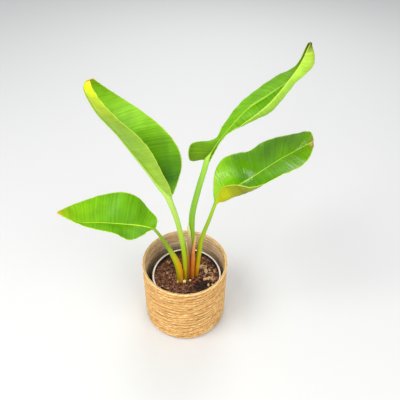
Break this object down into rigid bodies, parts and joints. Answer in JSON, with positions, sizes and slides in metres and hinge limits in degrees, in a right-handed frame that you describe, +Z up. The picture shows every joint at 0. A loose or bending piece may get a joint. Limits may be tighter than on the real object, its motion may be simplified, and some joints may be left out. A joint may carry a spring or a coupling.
{
  "type": "potted bird of paradise",
  "caption": "Potted bird of paradise plant with broad folded leaves on long stalks, in a nursery pot inside a round woven straw basket.",
  "frame": {"origin": "centre of the basket's flat underside, on the surface that it stands on", "axes": "+Z up along the basket's axis; the fan of leaves lies close to the XZ plane, turned about 12 degrees; -Y is the plant's front, with the lower left leaf at -X"},
  "size_m": [0.3766, 0.147, 0.5031],
  "materials": {
    "straw": "matte",
    "film": "gloss",
    "pot_plastic": "satin",
    "soil": "matte",
    "root": "matte",
    "stalk": "satin",
    "leaf": "satin",
    "red_bract": "satin",
    "dry_bract": "matte",
    "cut_stub": "matte"
  },
  "bodies": {
    "root": {"basket": "straw", "liner": "film", "nursery_pot": "pot_plastic", "soil": "soil", "rootstock": "root", "stalk_lower_left": "stalk", "stalk_upper_left": "stalk", "stalk_tall": "stalk", "stalk_right": "stalk", "blade_lower_left": "leaf", "blade_upper_left": "leaf", "blade_tall": "leaf", "blade_right": "leaf", "sheath_red": "red_bract", "sheath_papery": "dry_bract", "sheath_brown": "dry_bract", "stub_front": "cut_stub", "stub_small": "cut_stub"}
  },
  "joints": []
}
